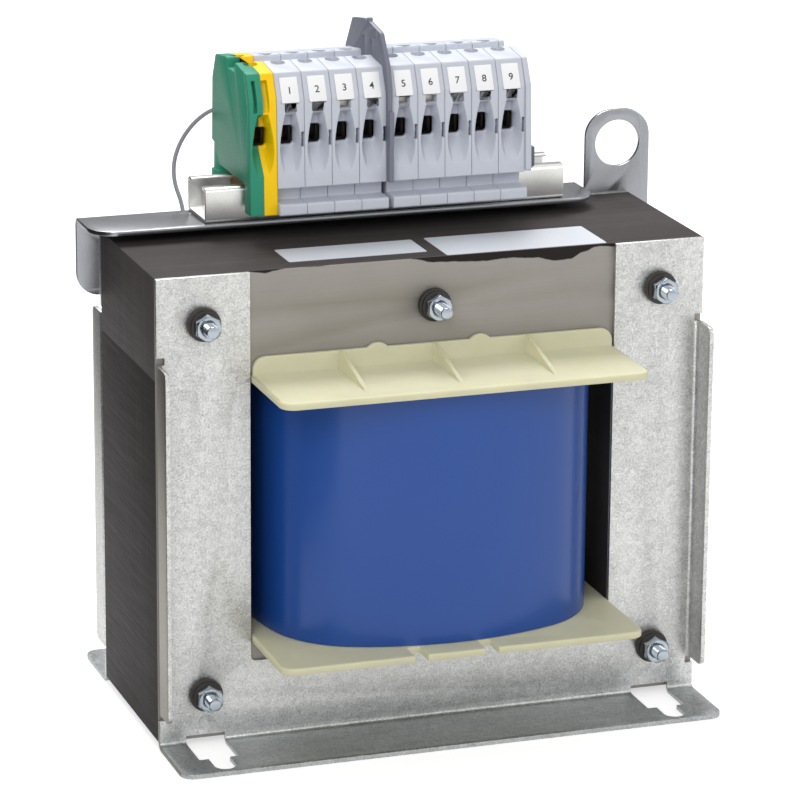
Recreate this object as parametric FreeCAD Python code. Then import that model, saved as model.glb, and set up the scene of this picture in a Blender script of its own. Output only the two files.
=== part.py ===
import FreeCAD, Part
import math
import os

# Open-frame control transformer: a laminated core stands on two pressed steel frames,
# a bobbin carries the windings, and a rail with screw terminals sits behind on a bracket.
# Millimetres. X runs to the right, the front faces -Y, +Z is up.
# The origin is under the middle of the core, on the surface that the feet stand on.

os.makedirs("parts", exist_ok=True)
Vector = FreeCAD.Vector

# Laminated core
core_width = 240.0
core_height = 200.0
stack_depth = 84.0
limb_width = 40.0
tongue_width = 80.0
yoke_height = 40.0
top_yoke_height = 43.5
core_lift = 3.0
bolt_inset = 20.0
bolt_hole_radius = 4.1

# Pressed mounting frames
sheet = 2.0
bend_radius = 1.5
frame_leg_width = 40.0
frame_web_height = 35.5
cutout_radius = 2.0
flange_depth = 13.5
flange_bottom = 16.0
flange_top = 166.8
flange_corner = 3.0
relief_height = 3.0
foot_length = 36.0
foot_corner = 6.0
keyhole_width = 17.0
keyhole_length = 20.0
keyhole_rise = 1.6
slot_width = 9.0
slot_reach = 33.0

# Bobbin and coil
flange_side_clearance = 0.5
flange_reach = 46.0
flange_thickness = 3.0
flange_radius = 6.0
flange_edge = 1.0
tube_wall = 2.5
core_clearance = 0.5
window_clearance = 0.3
back_wall_thickness = 2.2
back_wall_height = 7.8
back_wall_inset = 0.5
back_wall_radius = 5.5
back_wall_gap = 0.2
rib_thickness = 2.0
rib_pitch = 41.0
rib_length = 35.5
tab_radius = 6.0
tab_rise = 2.0
tab_places = (-25.0, 20.0)
notch_depth = 11.0
notch_width = 5.8
notch_centres = (-19.8, 11.2)
coil_window_gap = 6.0
coil_front_build = 35.5
coil_front_radius = 130.0
coil_side_radius = 190.0
coil_corner_radius = 41.0
wrap_thickness = 0.8
insulation_thickness = 1.2
secondary_build = 12.0
coil_end_gap = 0.3

# Through studs with insulating washers
stud_radius = 3.0
stud_front_reach = 17.0
stud_rear_reach = 19.0
sleeve_wall = 0.9
washer_radius = 7.0
washer_collar_radius = 6.2
washer_flange = 2.4
washer_thickness = 4.0
nut_across_flats = 10.0
nut_height = 5.0
nut_chamfer = 0.8
thread_clearance = 0.1

# Terminal bracket with its lifting lug
bracket_width = 260.0
bracket_drop = 34.5
bracket_corner = 10.0
shelf_gap = 4.0
shelf_depth = 31.5
shelf_right = 95.0
shelf_corner = 12.0
lug_width = 30.0
lug_top = 240.0
lug_corner = 12.0
lug_hole_radius = 10.25
lug_hole_drop = 15.0
lug_relief = 5.0

# Rail for the terminals
rail_width = 27.0
rail_height = 15.0
rail_wall = 1.5
rail_opening = 16.0
rail_radius = 2.0
rail_left = -81.0
rail_right = 79.5
rail_setback = 2.0
rivet_radius = 2.0
rivet_head_radius = 4.0
rivet_head_height = 1.2
rivet_tail_radius = 3.2
rivet_tail_height = 2.0
rivet_places = (-45.0, 45.0)

# Screw terminals
terminal_pitch = 12.0
terminal_width = 11.8
left_group = 4
right_group = 5
terminal_top = 66.8
terminal_wall = 1.2
face_bottom_out = 28.7
face_bottom_rise = 16.5
face_top_out = 27.2
face_top_rise = 54.0
crown_out = 22.2
crown_rise = 64.8
channel_half = 5.7
channel_depth = 4.4
channel_edge = 1.4
skirt_out = 22.0
toe_out = 32.0
toe_top_rise = 10.5
toe_bottom_rise = 5.5
leg_gap = 1.2
hook_reach = 9.6
hook_drop = 4.5
neck_gap = 0.4
hook_gap = 0.3
clamp_out = 9.2
chamber_half = 4.6
chamber_bottom_rise = 30.4
chamber_top_rise = 59.6
access_radius = 3.0
entry_width = 6.4
entry_bottom_rise = 33.7
entry_top_rise = 41.9
entry_radius = 1.6
funnel_width = 10.0
funnel_neck = 4.8
funnel_foot = 5.2
funnel_bottom_rise = 21.5
funnel_top_rise = 49.2
funnel_waist_rise = 33.5
funnel_depth_out = 20.5
window_width = 4.8
window_bottom_rise = 48.8
window_top_rise = 52.2
pocket_out = 18.7
notch_width_right = 1.3
notch_out = 21.5
notch_bottom_rise = 33.8
notch_top_rise = 40.2

# Clamps in the terminals
bar_width = 6.0
bar_thickness = 3.0
bar_bottom_rise = 42.0
bar_out = 20.0
bar_lip_thickness = 1.5
bar_lip_rise = 9.4
bar_step_out = 22.4
bar_step_rise = 46.4
bar_clearance = 0.2
cage_width = 8.8
cage_depth = 8.0
cage_bottom_rise = 31.0
cage_floor = 2.4
cage_roof = 3.5
cage_window = 6.5
cage_gap = 0.3
clamp_travel = 7.0
clamp_screw_radius = 2.0
clamp_head_radius = 2.6
clamp_head_height = 2.6
clamp_head_rise = 59.8
clamp_slot_width = 0.8
clamp_slot_depth = 1.2
clamp_tip_gap = 0.1
running_clearance = 0.06

# Marker tags on the front crown of each terminal
tag_width = 7.6
tag_length = 11.0
tag_offset = -1.4
tag_thickness = 0.9
tag_seat = 0.6

# Plates and stop on the rail
separator_thickness = 2.0
separator_rise = 80.4
separator_out = 32.4
separator_neck_out = 30.0
separator_slot = 3.0
end_plate_thickness = 2.5
end_plate_out = 29.8
end_stop_width = 7.1
end_stop_gap = 0.2
end_stop_rise = 40.5
end_stop_depth = 28.0
end_stop_step = 8.7
end_stop_nose = 2.0
end_stop_nose_rise = 37.3

# Earth lead and its ring lug on the upper left stud
lead_diameter = 1.8
lug_ring_radius = 6.0
lug_sheet = 0.8
lug_barrel_radius = 1.7
lug_barrel_length = 8.0

# Labels on the top yoke
label_thickness = 0.2
label_sizes = ((60.0, 21.0, -59.9, -32.8), (71.0, 30.0, 6.0, -41.0))

# Places worked out from the sizes above
half_width = core_width / 2
half_stack = stack_depth / 2
core_bottom = core_lift
core_top = core_lift + core_height
window_bottom = core_bottom + yoke_height
window_top = core_top - top_yoke_height
flange_width = 2 * (half_width - limb_width - flange_side_clearance)
coil_half_width = half_width - limb_width - coil_window_gap
coil_half_depth = half_stack + coil_front_build
bolt_x = half_width - bolt_inset
bolt_low = core_bottom + bolt_inset
bolt_high = core_top - bolt_inset
front_face = -half_stack
rear_face = half_stack
bracket_front = rear_face + sheet
bracket_rear = bracket_front + sheet
shelf_top = core_top + shelf_gap + sheet
shelf_front = bracket_rear - shelf_depth
terminal_y = (shelf_front + bracket_rear) / 2
rail_top = shelf_top + rail_height
terminal_crown = shelf_top + terminal_top
lip_underside = rail_top - rail_wall


def box(x0, x1, y0, y1, z0, z1):
    """Plain box between two corners."""
    return Part.makeBox(x1 - x0, y1 - y0, z1 - z0, Vector(x0, y0, z0))


def cylinder(radius, start, direction, length):
    """Round bar from a start point."""
    return Part.makeCylinder(radius, length, Vector(*start), Vector(*direction))


def outline(corners, place):
    """Closed wire through corners (u, v, radius), each corner rounded by its radius."""
    edges = []
    stops = []
    count = len(corners)
    for i in range(count):
        u, v, radius = corners[i]
        here = Vector(u, v, 0)
        before = Vector(corners[i - 1][0], corners[i - 1][1], 0)
        after = Vector(corners[(i + 1) % count][0], corners[(i + 1) % count][1], 0)
        to_before = (before - here).normalize()
        to_after = (after - here).normalize()
        if radius <= 0:
            stops.append((here, here, here))
            continue
        half = to_before.getAngle(to_after) / 2
        reach = radius / math.tan(half)
        inward = (to_before + to_after).normalize()
        middle = here + inward * (radius / math.sin(half) - radius)
        stops.append((here + to_before * reach, middle, here + to_after * reach))
    for i in range(count):
        first, middle, last = stops[i]
        if (last - first).Length > 1e-6:
            edges.append(Part.Arc(place(first), place(middle), place(last)).toShape())
        start = stops[(i + 1) % count][0]
        if (start - last).Length > 1e-6:
            edges.append(Part.LineSegment(place(last), place(start)).toShape())
    return Part.Wire(edges)


def prism_x(corners, x0, x1):
    """Outline in Y and Z, made solid from x0 to x1."""
    wire = outline(corners, lambda p: Vector(x0, p.x, p.y))
    return Part.Face(wire).extrude(Vector(x1 - x0, 0, 0))


def prism_y(corners, y0, y1):
    """Outline in X and Z, made solid from y0 to y1."""
    wire = outline(corners, lambda p: Vector(p.x, y0, p.y))
    return Part.Face(wire).extrude(Vector(0, y1 - y0, 0))


def prism_z(corners, z0, z1):
    """Outline in X and Y, made solid from z0 to z1."""
    wire = outline(corners, lambda p: Vector(p.x, p.y, z0))
    return Part.Face(wire).extrude(Vector(0, 0, z1 - z0))


def rectangle(u0, u1, v0, v1, radius=0.0):
    """Four corners for outline()."""
    return [(u0, v0, radius), (u1, v0, radius), (u1, v1, radius), (u0, v1, radius)]


def fuse(first, *others):
    """One solid from several that touch."""
    return first.multiFuse(list(others)).removeSplitter()


def export(name, shape):
    """Write one node."""
    shape.exportStep("parts/" + name + ".step")


def bolt_places():
    """Centres of the five through studs, as (x, z, passes a frame leg)."""
    return [
        (-bolt_x, bolt_low, True),
        (bolt_x, bolt_low, True),
        (-bolt_x, bolt_high, True),
        (0.0, bolt_high, False),
        (bolt_x, bolt_high, True),
    ]


# The E and I laminations, each stack one solid
def lamination_stacks():
    half_tongue = tongue_width / 2
    inner = half_width - limb_width
    corners = [
        (-half_width, core_bottom, 0),
        (half_width, core_bottom, 0),
        (half_width, window_top, 0),
        (inner, window_top, 0),
        (inner, window_bottom, 0),
        (half_tongue, window_bottom, 0),
        (half_tongue, window_top, 0),
        (-half_tongue, window_top, 0),
        (-half_tongue, window_bottom, 0),
        (-inner, window_bottom, 0),
        (-inner, window_top, 0),
        (-half_width, window_top, 0),
    ]
    e_stack = prism_y(corners, front_face, rear_face)
    i_stack = prism_y(rectangle(-half_width, half_width, window_top, core_top), front_face, rear_face)
    for x, z, _ in bolt_places():
        hole = cylinder(bolt_hole_radius, (x, front_face - 1, z), (0, 1, 0), stack_depth + 2)
        if z < window_bottom:
            e_stack = e_stack.cut(hole)
        else:
            i_stack = i_stack.cut(hole)
    return e_stack, i_stack


# A pressed frame: U-shaped web, folded foot with keyhole slots, side flanges
def mounting_frame():
    web_back = front_face
    web_front = front_face - sheet
    outer = sheet + bend_radius
    foot_front = web_front - foot_length
    leg_inner = half_width - frame_leg_width
    side = half_width - outer
    low_notch = flange_bottom - relief_height
    high_notch = flange_top + relief_height
    web = prism_y([
        (-half_width, outer, 0),
        (half_width, outer, 0),
        (half_width, low_notch, 0),
        (side, low_notch, 0),
        (side, high_notch, 0),
        (half_width, high_notch, 0),
        (half_width, core_top, 0),
        (leg_inner, core_top, 0),
        (leg_inner, frame_web_height, cutout_radius),
        (-leg_inner, frame_web_height, cutout_radius),
        (-leg_inner, core_top, 0),
        (-half_width, core_top, 0),
        (-half_width, high_notch, 0),
        (-side, high_notch, 0),
        (-side, low_notch, 0),
        (-half_width, low_notch, 0),
    ], web_front, web_back)
    foot = prism_x([
        (web_back, outer, 0),
        (web_back, 0, outer - 0.001),
        (foot_front, 0, 0),
        (foot_front, sheet, 0),
        (web_front, sheet, bend_radius - 0.001),
        (web_front, outer, 0),
    ], -half_width, half_width)
    plan = prism_z([
        (-half_width, web_back, 0),
        (-half_width, foot_front, foot_corner),
        (half_width, foot_front, foot_corner),
        (half_width, web_back, 0),
    ], -1, outer + 1)
    foot = foot.common(plan)
    flanges = []
    for sign in (-1, 1):
        strip = prism_z([
            (sign * side, web_back, 0),
            (sign * half_width, web_back, outer - 0.001),
            (sign * half_width, web_front - flange_depth, 0),
            (sign * (half_width - sheet), web_front - flange_depth, 0),
            (sign * (half_width - sheet), web_front, bend_radius - 0.001),
            (sign * side, web_front, 0),
        ], flange_bottom, flange_top)
        profile = prism_x([
            (web_back + 1, flange_bottom, 0),
            (web_front - flange_depth, flange_bottom, flange_corner),
            (web_front - flange_depth, flange_top, flange_corner),
            (web_back + 1, flange_top, 0),
        ], -half_width - 1, half_width + 1)
        flanges.append(strip.common(profile))
    frame = fuse(web, foot, *flanges)
    for x in (-bolt_x, bolt_x):
        keyhole = box(x - keyhole_width / 2, x + keyhole_width / 2,
                      web_front - keyhole_length, web_back + 1, -1, outer + keyhole_rise)
        slot = prism_z([
            (x - slot_width / 2, web_front - keyhole_length + 1, 0),
            (x + slot_width / 2, web_front - keyhole_length + 1, 0),
            (x + slot_width / 2, web_front - slot_reach, slot_width / 2 - 0.01),
            (x - slot_width / 2, web_front - slot_reach, slot_width / 2 - 0.01),
        ], -1, outer)
        frame = frame.cut(keyhole).cut(slot)
        for z in (bolt_low, bolt_high):
            frame = frame.cut(cylinder(bolt_hole_radius, (x, web_front - 1, z), (0, 1, 0), sheet + 2))
    return frame


def mirrored(shape):
    """The same piece, turned to the rear of the core."""
    return shape.mirror(Vector(0, 0, 0), Vector(0, 1, 0))


# The oval that the outer turns and the film take
def coil_outline(grow, z):
    half_x = coil_half_width + grow
    half_y = coil_half_depth + grow
    front_r = coil_front_radius + grow
    side_r = coil_side_radius + grow
    corner_r = coil_corner_radius + grow
    front_c = Vector(0, half_y - front_r, 0)
    side_c = Vector(half_x - side_r, 0, 0)
    span = side_c - front_c
    reach_front = front_r - corner_r
    reach_side = side_r - corner_r
    along = (reach_front ** 2 - reach_side ** 2 + span.Length ** 2) / (2 * span.Length)
    across = math.sqrt(reach_front ** 2 - along ** 2)
    unit = Vector(span).normalize()
    normal = Vector(unit.y, -unit.x, 0)
    if normal.x < 0:
        normal = normal * -1
    corner_c = front_c + unit * along + normal * across
    top = front_c + (corner_c - front_c).normalize() * front_r
    side = side_c + (corner_c - side_c).normalize() * side_r
    bulge = corner_c + (top + side - corner_c * 2).normalize() * corner_r
    quarter = [(0, half_y), (top.x, top.y), (bulge.x, bulge.y), (side.x, side.y), (half_x, 0)]

    def at(point, sx, sy):
        return Vector(point[0] * sx, point[1] * sy, z)

    front, tangent_top, middle, tangent_side, flank = quarter
    edges = [
        Part.Arc(at(tangent_top, -1, 1), at(front, 1, 1), at(tangent_top, 1, 1)).toShape(),
        Part.Arc(at(tangent_top, 1, 1), at(middle, 1, 1), at(tangent_side, 1, 1)).toShape(),
        Part.Arc(at(tangent_side, 1, 1), at(flank, 1, 1), at(tangent_side, 1, -1)).toShape(),
        Part.Arc(at(tangent_side, 1, -1), at(middle, 1, -1), at(tangent_top, 1, -1)).toShape(),
        Part.Arc(at(tangent_top, 1, -1), at(front, 1, -1), at(tangent_top, -1, -1)).toShape(),
        Part.Arc(at(tangent_top, -1, -1), at(middle, -1, -1), at(tangent_side, -1, -1)).toShape(),
        Part.Arc(at(tangent_side, -1, -1), at(flank, -1, 1), at(tangent_side, -1, 1)).toShape(),
        Part.Arc(at(tangent_side, -1, 1), at(middle, -1, 1), at(tangent_top, -1, 1)).toShape(),
    ]
    return Part.Wire(edges)


# Bobbin: square tube, two flanges, and the walls and ribs moulded on the top flange
tube_in_x = tongue_width / 2 + core_clearance
tube_in_y = half_stack + core_clearance
tube_out_x = tube_in_x + tube_wall
tube_out_y = tube_in_y + tube_wall
flange_y = half_stack + flange_reach
low_flange = window_bottom + window_clearance
high_flange = window_top - window_clearance
coil_bottom = low_flange + flange_thickness + coil_end_gap
coil_top = high_flange - flange_thickness - coil_end_gap


def bobbin_flange(z0):
    plate = prism_z(rectangle(-flange_width / 2, flange_width / 2, -flange_y, flange_y, flange_radius),
                    z0, z0 + flange_thickness)
    rim = [e for e in plate.Edges
           if abs(e.BoundBox.ZMin - z0 - flange_thickness) < 1e-6 and abs(e.BoundBox.ZMax - e.BoundBox.ZMin) < 1e-6]
    return plate.makeFillet(min(flange_edge, flange_thickness / 2 - 0.1), rim)


def bobbin():
    body = prism_z(rectangle(-tube_out_x, tube_out_x, -tube_out_y, tube_out_y, tube_wall), low_flange, high_flange)
    low = bobbin_flange(low_flange)
    high = bobbin_flange(high_flange - flange_thickness)
    for centre in notch_centres:
        low = low.cut(box(centre - notch_width / 2, centre + notch_width / 2,
                          -flange_y - 1, -flange_y + notch_depth, low_flange - 1, coil_bottom))
    wall_back = front_face - back_wall_gap
    wall_front = wall_back - back_wall_thickness
    wall_top = high_flange + back_wall_height
    half_wall = flange_width / 2 - back_wall_inset
    wall = prism_y([
        (-half_wall, high_flange - 1, 0),
        (half_wall, high_flange - 1, 0),
        (half_wall, wall_top, back_wall_radius),
        (-half_wall, wall_top, back_wall_radius),
    ], wall_front, wall_back)
    features = [wall]
    for x in tab_places:
        tab = cylinder(tab_radius, (x, wall_front, wall_top + tab_rise - tab_radius), (0, 1, 0), back_wall_thickness)
        features.append(tab)
    for x in (-rib_pitch, 0.0, rib_pitch):
        features.append(prism_x([
            (wall_back, high_flange - 1, 0),
            (wall_back, wall_top, 0),
            (wall_front, wall_top, 0),
            (wall_front - rib_length, high_flange, 0),
            (wall_front - rib_length, high_flange - 1, 0),
        ], x - rib_thickness / 2, x + rib_thickness / 2))
    rear_features = [mirrored(f) for f in features]
    body = fuse(body, low, high, *features, *rear_features)
    return body.cut(box(-tube_in_x, tube_in_x, -tube_in_y, tube_in_y, low_flange - 1, high_flange + 1))


def oval_ring(outer_grow, inner):
    """A layer of the coil between an oval and what lies inside it."""
    solid = Part.Face(coil_outline(outer_grow, coil_bottom)).extrude(Vector(0, 0, coil_top - coil_bottom))
    return solid.cut(inner)


def coil_layers():
    height = coil_top - coil_bottom
    core_side = prism_z(rectangle(-tube_out_x, tube_out_x, -tube_out_y, tube_out_y, tube_wall), coil_bottom, coil_top)
    steps = [-wrap_thickness, -wrap_thickness - secondary_build,
             -wrap_thickness - secondary_build - insulation_thickness]
    ovals = [Part.Face(coil_outline(s, coil_bottom)).extrude(Vector(0, 0, height)) for s in steps]
    wrap = oval_ring(0.0, ovals[0])
    secondary = ovals[0].cut(ovals[1])
    insulation = ovals[1].cut(ovals[2])
    primary = ovals[2].cut(core_side)
    return primary, insulation, secondary, wrap


# The upper left stud also holds the ring lug of the earth lead
def lug_allowance(x, z):
    return lug_sheet if x < 0 and z == bolt_high else 0.0


def washer_seat(z, passes_leg, rear):
    """Distance from the core's face to the washer's seat."""
    if rear:
        return 2 * sheet if z == bolt_high else sheet
    return sheet if passes_leg else 0.0


def insulating_washer(x, y, z, direction):
    """Moulded washer with a wide flange and a narrower collar."""
    flange = cylinder(washer_radius, (x, y, z), (0, direction, 0), washer_flange)
    collar = cylinder(washer_collar_radius, (x, y, z), (0, direction, 0), washer_thickness)
    hole = cylinder(stud_radius + thread_clearance, (x, y - direction, z), (0, direction, 0), washer_thickness + 2)
    return fuse(flange, collar).cut(hole)


def hex_nut(x, y, z, direction):
    """Plain hexagon nut, chamfered on its outer face."""
    radius = nut_across_flats / 2 / math.cos(math.pi / 6)
    points = [Vector(x + radius * math.sin(math.pi / 3 * i), y, z + radius * math.cos(math.pi / 3 * i)) for i in range(7)]
    prism = Part.Face(Part.makePolygon(points)).extrude(Vector(0, direction * nut_height, 0))
    cone_top = nut_across_flats / 2
    cone = Part.makeCone(radius + nut_height - nut_chamfer, cone_top, nut_height + radius - cone_top,
                         Vector(x, y - direction * (radius - cone_top), z), Vector(0, direction, 0))
    hole = cylinder(stud_radius + thread_clearance, (x, y - direction, z), (0, direction, 0), nut_height + 2)
    return prism.common(cone).cut(hole)


def core_fasteners():
    studs, sleeves, washers, nuts = [], [], [], []
    for x, z, leg in bolt_places():
        start = front_face - stud_front_reach
        studs.append(cylinder(stud_radius, (x, start, z), (0, 1, 0), stack_depth + stud_front_reach + stud_rear_reach))
        sleeve = cylinder(stud_radius + sleeve_wall, (x, front_face, z), (0, 1, 0), stack_depth)
        sleeves.append(sleeve.cut(cylinder(stud_radius, (x, front_face - 1, z), (0, 1, 0), stack_depth + 2)))
        front = front_face - washer_seat(z, leg, False)
        rear = rear_face + washer_seat(z, leg, True) + lug_allowance(x, z)
        washers.append(insulating_washer(x, front, z, -1))
        washers.append(insulating_washer(x, rear, z, 1))
        nuts.append(hex_nut(x, front - washer_thickness, z, -1))
        nuts.append(hex_nut(x, rear + washer_thickness, z, 1))
    return [Part.makeCompound(group) for group in (studs, sleeves, washers, nuts)]


# Bracket: one folded sheet with the shelf for the rail and the lifting lug
def terminal_bracket():
    half = bracket_width / 2
    bottom = shelf_top - bracket_drop
    outer = sheet + bend_radius
    lug_left = half - lug_width
    shelf_low = shelf_top - sheet
    web = prism_y([
        (-half, bottom, bracket_corner),
        (half, bottom, bracket_corner),
        (half, lug_top, lug_corner),
        (lug_left, lug_top, lug_corner),
        (lug_left, shelf_top - outer, 0),
        (-half, shelf_top - outer, 0),
    ], bracket_front, bracket_rear)
    bend = prism_x([
        (bracket_front, shelf_top - outer, 0),
        (bracket_rear, shelf_top - outer, 0),
        (bracket_rear, shelf_top, outer - 0.001),
        (shelf_front, shelf_top, 0),
        (shelf_front, shelf_low, 0),
        (bracket_front, shelf_low, bend_radius - 0.001),
    ], -half, shelf_right)
    plan = prism_z([
        (-half, shelf_front, shelf_corner),
        (shelf_right, shelf_front, shelf_corner),
        (shelf_right, bracket_rear, 0),
        (-half, bracket_rear, 0),
    ], shelf_top - outer - 1, shelf_top + 1)
    bracket = fuse(web, bend.common(plan))
    eye = cylinder(lug_hole_radius, (half - lug_width / 2, bracket_front - 1, lug_top - lug_hole_drop),
                   (0, 1, 0), sheet + 2)
    bracket = bracket.cut(eye)
    for x in (-bolt_x, 0.0, bolt_x):
        bracket = bracket.cut(cylinder(bolt_hole_radius, (x, bracket_front - 1, bolt_high), (0, 1, 0), sheet + 2))
    for x in rivet_places:
        bracket = bracket.cut(cylinder(rivet_radius, (x, terminal_y, shelf_low - 1), (0, 0, 1), sheet + 2))
    return bracket


# C-shaped rail, rolled lips facing each other
def terminal_rail():
    y0 = terminal_y - rail_width / 2
    y1 = terminal_y + rail_width / 2
    lip = rail_opening / 2
    inner = max(rail_radius - rail_wall, 0.1)
    profile = [
        (y0, shelf_top, rail_radius),
        (y1, shelf_top, rail_radius),
        (y1, rail_top, rail_radius),
        (terminal_y + lip, rail_top, 0),
        (terminal_y + lip, rail_top - rail_wall, 0),
        (y1 - rail_wall, rail_top - rail_wall, inner),
        (y1 - rail_wall, shelf_top + rail_wall, inner),
        (y0 + rail_wall, shelf_top + rail_wall, inner),
        (y0 + rail_wall, rail_top - rail_wall, inner),
        (terminal_y - lip, rail_top - rail_wall, 0),
        (terminal_y - lip, rail_top, 0),
        (y0, rail_top, rail_radius),
    ]
    rail = prism_x(profile, rail_left, rail_right)
    for x in rivet_places:
        rail = rail.cut(cylinder(rivet_radius, (x, terminal_y, shelf_top - 1), (0, 0, 1), rail_wall + 2))
    return rail


def rail_rivets():
    rivets = []
    low = shelf_top - sheet
    high = shelf_top + rail_wall
    for x in rivet_places:
        shank = cylinder(rivet_radius, (x, terminal_y, low), (0, 0, 1), high - low)
        head = cylinder(rivet_head_radius, (x, terminal_y, high), (0, 0, 1), rivet_head_height)
        tail = cylinder(rivet_tail_radius, (x, terminal_y, low - rivet_tail_height), (0, 0, 1), rivet_tail_height)
        rivets.append(fuse(shank, head, tail))
    return Part.makeCompound(rivets)


def both_sides(front_half):
    """Close a profile given from the middle of the top round the front to the middle below."""
    rear_half = [(-out, rise, radius) for out, rise, radius in reversed(front_half)]
    full = front_half + rear_half
    return [(terminal_y + out, shelf_top + rise, radius) for out, rise, radius in full]


# Side views of the two kinds of terminal, as (out, rise, radius) from the rail's middle
def grey_profile():
    seat = rail_height
    leg = rail_width / 2 + leg_gap
    neck = rail_opening / 2 - neck_gap
    under = rail_height - rail_wall - hook_gap
    return both_sides([
        (-channel_half, terminal_top - channel_depth, 0),
        (-channel_half, terminal_top, channel_edge),
        (-crown_out, crown_rise, 1.5),
        (-face_top_out, face_top_rise, 3.0),
        (-face_bottom_out, face_bottom_rise, 0.5),
        (-skirt_out, face_bottom_rise, 0),
        (-skirt_out, toe_top_rise, 0.5),
        (-toe_out, toe_top_rise, 1.0),
        (-toe_out, toe_bottom_rise, 1.0),
        (-leg, toe_bottom_rise, 0),
        (-leg, seat, 0),
        (-neck, seat, 0),
        (-neck, under, 0),
        (-hook_reach, under, 0),
        (-hook_reach, under - hook_drop, 1.0),
    ])


earth_foot = 2.0
earth_leg_out = 29.1
earth_leg_in = 20.4
earth_seam = 6.0
earth_slot_green = (1.9, 3.4)
earth_slot_yellow = (6.0, 8.7)
earth_slot_depth = 3.6
earth_slot_low = -4.4
earth_slot_high = 8.9
earth_relief_rear = 27.0
earth_relief_depth = 1.0
earth_line_depth = 0.5


def earth_profile():
    return both_sides([
        (-channel_half, terminal_top - channel_depth, 0),
        (-channel_half, terminal_top, channel_edge),
        (-crown_out, crown_rise, 1.5),
        (-face_top_out, face_top_rise, 3.0),
        (-earth_leg_out, toe_bottom_rise, 0.5),
        (-earth_leg_in, toe_bottom_rise, 0),
        (-earth_leg_in, rail_height + earth_foot, 0),
    ])


def funnel_wire(centre_x, y, across, above, below):
    """Wire funnel outline: a narrow neck on top, bowed sides and a flat foot."""
    waist = funnel_waist_rise
    top = waist + (funnel_top_rise - waist) * above
    bottom = waist - (waist - funnel_bottom_rise) * below
    neck = funnel_neck / 2 * across
    half = funnel_width / 2 * across

    def at(x, rise):
        return Vector(centre_x + x, y, shelf_top + rise)

    side = waist + (top - waist) * 0.55
    flank = waist - (waist - bottom) * 0.55
    foot = funnel_foot / 2 * across
    return Part.Wire([
        Part.LineSegment(at(-neck, top), at(neck, top)).toShape(),
        Part.Arc(at(neck, top), at(half * 0.81, side), at(half, waist)).toShape(),
        Part.Arc(at(half, waist), at(half * 0.88, flank), at(foot, bottom)).toShape(),
        Part.LineSegment(at(foot, bottom), at(-foot, bottom)).toShape(),
        Part.Arc(at(-foot, bottom), at(-half * 0.88, flank), at(-half, waist)).toShape(),
        Part.Arc(at(-half, waist), at(-half * 0.81, side), at(-neck, top)).toShape(),
    ])


def terminal_body(profile, x0, x1, closed_right):
    """Moulded housing with clamp chambers, wire funnels, bar slot and screw access holes."""
    centre = (x0 + x1) / 2
    body = prism_x(profile, x0, x1)
    inside_left = x0 + terminal_wall
    inside_right = x1 - terminal_wall if closed_right else x1 + 1
    bar_low = shelf_top + bar_bottom_rise - bar_clearance
    bar_high = shelf_top + bar_bottom_rise + bar_thickness + bar_clearance
    cuts = [box(inside_left, inside_right, terminal_y - bar_out - bar_clearance,
                terminal_y + bar_out + bar_clearance, bar_low, bar_high)]
    for side in (-1, 1):
        axis_y = terminal_y + side * clamp_out
        cuts.append(box(inside_left, inside_right, axis_y - chamber_half, axis_y + chamber_half,
                        shelf_top + chamber_bottom_rise, shelf_top + chamber_top_rise))
        cuts.append(cylinder(access_radius, (centre, axis_y, shelf_top + chamber_top_rise - 1), (0, 0, 1),
                             terminal_top - chamber_top_rise + 2))
        near = terminal_y + side * (clamp_out + chamber_half - 1)
        far = terminal_y + side * (face_bottom_out + 1)
        entry = prism_y(rectangle(centre - entry_width / 2, centre + entry_width / 2,
                                  shelf_top + entry_bottom_rise, shelf_top + entry_top_rise, entry_radius),
                        min(near, far), max(near, far))
        cuts.append(entry)
        deep = terminal_y + side * pocket_out
        cuts.append(box(inside_left, inside_right, min(near, deep), max(near, deep),
                        shelf_top + chamber_bottom_rise, bar_low - 0.1))
        inner = funnel_wire(centre, terminal_y + side * funnel_depth_out, entry_width / funnel_width, 0.76, 0.1)
        outer = funnel_wire(centre, terminal_y + side * (face_bottom_out + 0.6), 1.0, 1.0, 1.0)
        cuts.append(Part.makeLoft([inner, outer], True, True))
        if closed_right:
            continue
        lip_in = terminal_y + side * (bar_out - bar_lip_thickness - bar_clearance)
        lip_far = terminal_y + side * (bar_out + bar_clearance)
        step_far = terminal_y + side * (bar_step_out + bar_clearance)
        half_slot = bar_width / 2 + bar_clearance
        lip_high = shelf_top + bar_bottom_rise + bar_lip_rise + bar_clearance
        cuts.append(box(centre - half_slot, centre + half_slot, min(lip_in, lip_far), max(lip_in, lip_far),
                        bar_high - 0.1, lip_high))
        cuts.append(box(centre - half_slot, centre + half_slot, min(lip_in, step_far), max(lip_in, step_far),
                        shelf_top + bar_step_rise - bar_clearance, lip_high))
        cuts.append(box(centre - window_width / 2, centre + window_width / 2, min(lip_in, far), max(lip_in, far),
                        shelf_top + window_bottom_rise, shelf_top + window_top_rise))
        notch_near = terminal_y + side * notch_out
        cuts.append(box(x1 - notch_width_right, x1 + 1, min(notch_near, far), max(notch_near, far),
                        shelf_top + notch_bottom_rise, shelf_top + notch_top_rise))
    return body.cut(Part.makeCompound(cuts).childShapes()[0].multiFuse(cuts[1:]))


def crown_point(along, above):
    """Point on the sloping front crown, measured from its lower corner."""
    run = face_top_out - crown_out
    rise = crown_rise - face_top_rise
    length = math.hypot(run, rise)
    up = (run / length, rise / length)
    out = (-up[1], up[0])
    y = terminal_y - face_top_out + up[0] * along + out[0] * above
    z = shelf_top + face_top_rise + up[1] * along + out[1] * above
    return (y, z, 0)


def tag_prism(centre, width, inner, outer, low=tag_offset, high=tag_offset + tag_length):
    corners = [crown_point(low, inner), crown_point(low, outer), crown_point(high, outer), crown_point(high, inner)]
    return prism_x(corners, centre - width / 2, centre + width / 2)


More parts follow.
